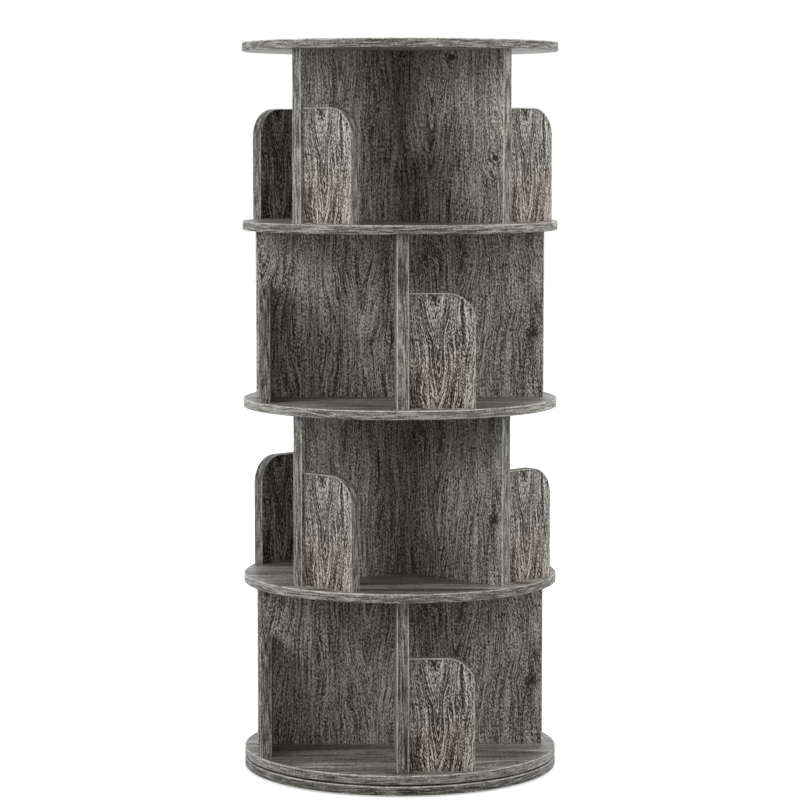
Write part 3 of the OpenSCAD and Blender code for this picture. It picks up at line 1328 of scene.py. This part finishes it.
@dataclass
class BookStop(Upright):
    """A book stop: an upright plate with one round corner and rounded edges, square to its divider."""

    ease: float = 0.0012
    corner: float = 0.040
    decor_at: Pair = (0.036, 0.017)

    KIND = "book_stop"
    SLOT = "stop_board"

    def outline(self, inset: float) -> Array:
        """The plate's outline, drawn in by an inset: a rectangle whose upper free corner is an arc.

        Args:
            inset: Distance inside the plate's edge.

        Returns:
            Points in the plane of the plate, across and up, from its lower corner at the divider.
        """
        wide, tall, radius = self.sizes.stop_width, self.sizes.stop_height, self.corner
        round_part = arc((wide - radius, tall - radius), radius - inset, 0.0, QUARTER, CORNER_STEPS)
        low = np.array([(inset, inset), (wide - inset, inset)])
        return np.concatenate([low, round_part, [(inset, tall - inset)]])

    def profile(self) -> list[tuple[Array, Finish]]:
        """The plate's edge in section: a quarter round, a straight and a quarter round.

        Returns:
            The three with their finishes, as pairs of inset and place across the plate's thickness.
        """
        thick = self.sizes.stop_outer - self.sizes.stop_inner
        back = arc((self.ease, self.ease), self.ease, -QUARTER, -2 * QUARTER, EASE_STEPS)
        front = arc((self.ease, thick - self.ease), self.ease, 2 * QUARTER, QUARTER, EASE_STEPS)
        middle = np.stack([back[-1], front[0]])
        # Both rounds take the pale edge finish, a painted highlight along the plate's edges.
        return [(back, Finish.EASE), (middle, Finish.BAND), (front, Finish.EASE)]

    def edges(self, low: float) -> Iterator[Patch]:
        """The plate's edges: its edge section carried round its outline, drawn in by the section's inset.

        Args:
            low: Height of the shelf that the plate stands on.

        Yields:
            The rounds and the bands; the band at the divider is drilled for the dowels.
        """
        outside = self.outline(0.0)
        length = run_length(np.concatenate([outside, outside[:1]]))
        for section, finish in self.profile():
            rings = np.stack([self.outline(inset) for inset, _ in section], axis=1)
            rings = np.concatenate([rings, rings[:1]])
            depth = section[:, 1]
            points = together(
                self.sizes.stop_inner + depth, self.sizes.thickness / 2 + rings[..., 0], low + rings[..., 1]
            )
            decor = together(self.decor_at[0] + depth, self.decor_at[1] + length[:, None])
            if finish is Finish.EASE:
                yield grid_patch(points, decor, finish)
            else:
                yield grid_patch(points[:-1], decor[:-1], finish)
                yield from self.joint(points[-2:], finish)

    def joint(self, corners: Array, finish: Finish) -> Iterator[Patch]:
        """The upright face against the divider, drilled for its two dowels.

        Args:
            corners: Its four corners: upper pair, then lower pair, each from back to front.
            finish: The finish shown.

        Yields:
            The walls of the holes and the face.
        """
        upper, lower = corners
        sheet = rectangle(lower[1, 0] - lower[0, 0], upper[0, 2] - lower[0, 2])
        bores = self.sizes.stop_dowel_bores(lower[0, 2])
        yield from drilled_face(Plane(lower[0], X_AXIS, Z_AXIS), sheet, bores, self.decor_at, finish)

    def patches(self) -> Iterator[Patch]:
        """The plate's edges and its two flat faces, which lie inside the rounds.

        Yields:
            The edges, the outer face and the inner face.
        """
        low, side = self.sizes.floor(self.tier), self.sizes.thickness / 2
        front = Plane(np.array([self.sizes.stop_outer, side, low]), Y_AXIS, Z_AXIS)
        back = Plane(np.array([self.sizes.stop_inner, side, low]), -Y_AXIS, Z_AXIS)
        face = self.outline(self.ease)
        far = (self.decor_at[0] + self.sizes.stop_width, self.decor_at[1])
        yield from self.edges(low)
        yield front.fill([face], self.decor_at, Finish.FACE, Grain.UPRIGHT)
        yield back.fill([face * (-1, 1)], far, Finish.FACE, Grain.UPRIGHT)


@dataclass
class BearingSeat:
    """The pockets and screw holes that hold the turntable bearing between the lower two boards."""

    race_width: float = 0.017
    seat_gap: float = 0.0002
    run_gap: float = 0.001
    screws: int = 6
    screw_radius: float = 0.002
    screw_bite: float = 0.008
    access_radius: float = 0.009

    def __post_init__(self) -> None:
        """Reads the races from the frame."""
        low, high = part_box("outer_race")
        self.outside, self.lowest = high.x, low.z
        self.outer_circle = self.outside - self.race_width / 2
        _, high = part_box("inner_race")
        self.inside, self.highest = high.x - self.race_width, high.z
        self.inner_circle = high.x - self.race_width / 2

    def screw_bores(self, radius: float, height: float) -> list[Bore]:
        """The ring of holes that a race's screws enter."""
        steps = Fastening().plain_steps(self.screw_radius, self.screw_bite)
        return [Bore((x, y, height), steps) for x, y in circle(radius, self.screws).tolist()]

    def in_base(self, board: RoundBoard) -> None:
        """Cuts the base plate's pocket, its screw holes and the hole through which screws are reached.

        Args:
            board: The base plate.
        """
        inner, outer = self.inside - self.run_gap, self.outside + self.seat_gap
        board.recess[Side.TOP] = Recess(inner, outer, board.upper - self.lowest)
        through = ((self.access_radius, 0.0), (self.access_radius, self.lowest - board.lower))
        board.bores[Side.TOP] = self.screw_bores(self.outer_circle, self.lowest)
        board.bores[Side.TOP].append(Bore((self.inner_circle, 0.0, self.lowest), through, True))
        board.bores[Side.UNDER] = [Bore((self.inner_circle, 0.0, board.lower), through[:1])]

    def in_shelf(self, board: RoundBoard) -> None:
        """Cuts the bottom shelf's pocket and its screw holes.

        Args:
            board: The bottom shelf.
        """
        inner, outer = self.inside - self.seat_gap, self.outside + self.run_gap
        board.recess[Side.UNDER] = Recess(inner, outer, self.highest - board.lower)
        board.bores[Side.UNDER] += self.screw_bores(self.inner_circle, self.highest)


@dataclass
class Bookcase:
    """The whole bookcase: its round boards, and in each tier the dividers with their book stops."""

    tiers: int = TIERS
    arms: int = ARMS
    tier_turn: float = math.radians(45)
    print_step: Pair = (0.83, 0.57)

    def __post_init__(self) -> None:
        """Reads the shared sizes."""
        self.sizes = Sizes()

    def arm_angle(self, tier: int, arm: int) -> float:
        """Direction of an arm: every second tier is turned against its neighbours."""
        return (tier - 1) % 2 * self.tier_turn + (arm - 1) * TURN / self.arms

    def fixing_places(self, tier: int, height: float) -> list[Spot]:
        """Where the fastenings of a tier's dividers cross a height."""
        angles = [self.arm_angle(tier, arm) for arm in range(1, self.arms + 1)]
        return [
            (radius * math.cos(angle), radius * math.sin(angle), height)
            for angle in angles
            for radius in self.sizes.fixing_radii
        ]

    def shelf_name(self, place: int) -> str:
        """The name of a shelf, counted from the bottom."""
        return {1: "bottom_shelf", self.tiers + 1: "top_board"}.get(place, f"shelf_{place}")

    def shelf(self, place: int) -> RoundBoard:
        """A shelf, drilled for the dividers that stand on it and for those under it.

        Args:
            place: Its place, counted from the bottom.

        Returns:
            The board, not yet built.
        """
        fix = self.sizes.fastening
        decor = (self.print_step[0] * place, self.print_step[1] * place)
        board = RoundBoard(self.shelf_name(place), "bookcase", "shelf_board", decor)
        board.bores = {Side.TOP: [], Side.UNDER: []}
        if place <= self.tiers:
            steps = fix.screw_steps(self.sizes.board)
            for at in self.fixing_places(place, board.lower):
                board.bores[Side.UNDER].append(Bore(at, steps, True))
                board.bores[Side.TOP].append(Bore((at[0], at[1], board.upper), steps[-1:]))
        if place > 1:
            steps = fix.plain_steps(fix.dowel_radius, fix.dowel_seat)
            board.bores[Side.UNDER] += [Bore(at, steps) for at in self.fixing_places(place - 1, board.lower)]
        return board

    def build(self, finishes: Finishes) -> None:
        """Builds every board.

        Args:
            finishes: The materials of the bookcase.
        """
        seat = BearingSeat()
        base = RoundBoard("base_plate", "base", "base_board", (0.0, 0.0))
        seat.in_base(base)
        base.build(finishes.base)
        for place in range(1, self.tiers + 2):
            board = self.shelf(place)
            if place == 1:
                seat.in_shelf(board)
            board.build(finishes.shelf)
        for tier in range(1, self.tiers + 1):
            for arm in range(1, self.arms + 1):
                angle = self.arm_angle(tier, arm)
                Divider(tier, arm, angle, self.sizes).build(finishes.divider)
                BookStop(tier, arm, angle, self.sizes).build(finishes.stop)


@dataclass
class Viewpoint:
    """The camera: its distance from the axis, its height under the top board and the way that it looks."""

    focal_pixels: float = 2935.1
    frame_pixels: float = 800.0
    sensor: float = 36.0
    distance: float = 4.3026
    below_top: float = 0.12965
    pitch: float = math.radians(5.216)
    azimuth: float = math.radians(-1.1)

    def build(self) -> None:
        """Adds the camera and makes it the scene's own."""
        data = bpy.data.cameras.new("camera")
        data.sensor_width = self.sensor
        data.lens = self.focal_pixels * self.sensor / self.frame_pixels
        camera = bpy.data.objects.new("camera", data)
        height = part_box("top_board")[1].z - self.below_top
        across, along = math.sin(self.azimuth), -math.cos(self.azimuth)
        camera.location = (self.distance * across, self.distance * along, height)
        camera.rotation_euler = (QUARTER - self.pitch, 0.0, self.azimuth)
        bpy.context.scene.collection.objects.link(camera)
        bpy.context.scene.camera = camera


@dataclass(frozen=True)
class Lamp:
    """A square soft lamp that stands round the bookcase and looks at its axis.

    Its bearing is in degrees from the front, to the right.
    """

    name: str
    bearing: float
    distance: float
    height: float
    aim: float
    size: float
    power: float

    def build(self) -> None:
        """Adds the lamp."""
        data = bpy.data.lights.new(self.name, "AREA")
        data.size = self.size
        data.energy = self.power
        lamp = bpy.data.objects.new(self.name, data)
        turn = math.radians(self.bearing)
        at = Vector((self.distance * math.sin(turn), -self.distance * math.cos(turn), self.height))
        lamp.location = at
        lamp.rotation_euler = (Vector((0.0, 0.0, self.aim)) - at).to_track_quat("-Z", "Y").to_euler()
        bpy.context.scene.collection.objects.link(lamp)


@dataclass
class Studio:
    """A plain white studio: a wide round floor, an even sky and soft lamps."""

    floor_radius: float = 14.0
    sky: float = 0.61
    glow: Pair = (0.50, 0.86)
    glow_reach: Pair = (0.5, 3.0)
    shaded: float = 0.75
    bounce: float = 0.20
    # Each lamp's name, bearing, distance, height, the height that it looks at, its size and its power.
    lamps: tuple[Lamp, ...] = (
        Lamp("left_high", -52.0, 2.4, 2.0, 0.7, 1.2, 13.0),
        Lamp("left_low", -60.0, 2.2, 1.3, 0.7, 1.0, 18.0),
        Lamp("right_high", 74.0, 2.4, 2.0, 0.7, 1.2, 20.0),
        Lamp("right_low", 60.0, 2.2, 1.3, 0.7, 1.0, 8.0),
        Lamp("right_floor", 60.0, 2.6, 0.5, 0.4, 1.0, 4.5),
        Lamp("back", 170.0, 1.9, 3.0, 0.8, 1.8, 34.0),
    )

    @staticmethod
    def seen(graph: Graph) -> Wire:
        """One for a ray from the camera, or one that was reflected or let through; nought for other light."""
        rays = graph.node("ShaderNodeLightPath", {}, {}, "Is Camera Ray")
        return rays.most(rays.other("Is Glossy Ray")).most(rays.other("Is Transmission Ray"))

    def floor_material(self) -> bpy.types.Material:
        """White to the camera, less the object's soft shadow; pale grey to other light.

        Returns:
            The material, whose own glow grows with the distance from the axis.
        """
        graph = Graph.named("floor_white")
        plain = graph.node("ShaderNodeBsdfDiffuse", {}, {"Color": grey(self.bounce)})
        shaded = graph.node("ShaderNodeBsdfDiffuse", {}, {"Color": grey(self.shaded)})
        away = graph.node("ShaderNodeVectorMath", {"operation": "LENGTH"}, {0: graph.place()}, "Value")
        stops = [(0.0, grey(self.glow[0])), (1.0, grey(self.glow[1]))]
        colour = graph.ramp(away.step(*self.glow_reach), stops)
        glow = graph.node("ShaderNodeEmission", {}, {"Color": colour, "Strength": 1.0})
        white = graph.node("ShaderNodeAddShader", {}, {0: shaded, 1: glow})
        mixed = graph.node("ShaderNodeMixShader", {}, {0: self.seen(graph), 1: plain, 2: white})
        graph.node("ShaderNodeOutputMaterial", {}, {"Surface": mixed})
        return graph.owner

    def build_sky(self) -> None:
        """White to the camera, and an even, dimmer light to the object."""
        graph = Graph(bpy.data.worlds.new("sky"))
        bpy.context.scene.world = graph.owner
        dim = graph.node("ShaderNodeBackground", {}, {"Color": WHITE, "Strength": self.sky})
        bright = graph.node("ShaderNodeBackground", {}, {"Color": WHITE, "Strength": 1.0})
        mixed = graph.node("ShaderNodeMixShader", {}, {0: self.seen(graph), 1: dim, 2: bright})
        graph.node("ShaderNodeOutputWorld", {}, {"Surface": mixed})

    def build(self) -> None:
        """Adds the floor, the sky and the lamps."""
        across, along = circle(self.floor_radius, RIM_SIDES).T
        mesh = bpy.data.meshes.new("floor")
        mesh.from_pydata(together(across, along, 0.0).tolist(), [], [list(range(RIM_SIDES))])
        mesh.materials.append(self.floor_material())
        floor = bpy.data.objects.new("floor", mesh)
        bpy.context.scene.collection.objects.link(floor)
        floor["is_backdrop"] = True
        self.build_sky()
        for lamp in self.lamps:
            lamp.build()


def write_sizes() -> None:
    """Gathers the boxes of the frame and of the dressed bookcase as plain lists, and keeps them nowhere."""
    boxes = {"cad": CAD_BOX, "visual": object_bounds()}
    {name: [list(corner) for corner in box] for name, box in boxes.items()}


def main() -> None:
    """Builds the bookcase, dresses what the frame keeps, and sets up the studio."""
    logging.basicConfig(level=logging.INFO, format="%(name)s: %(message)s")
    bpy.context.scene.view_settings.view_transform = "Standard"
    Viewpoint().build()
    finishes = Finishes()
    Bookcase().build(finishes)
    finishes.dress_kept()
    Studio().build()
    write_sizes()


if __name__ == "__main__":
    main()
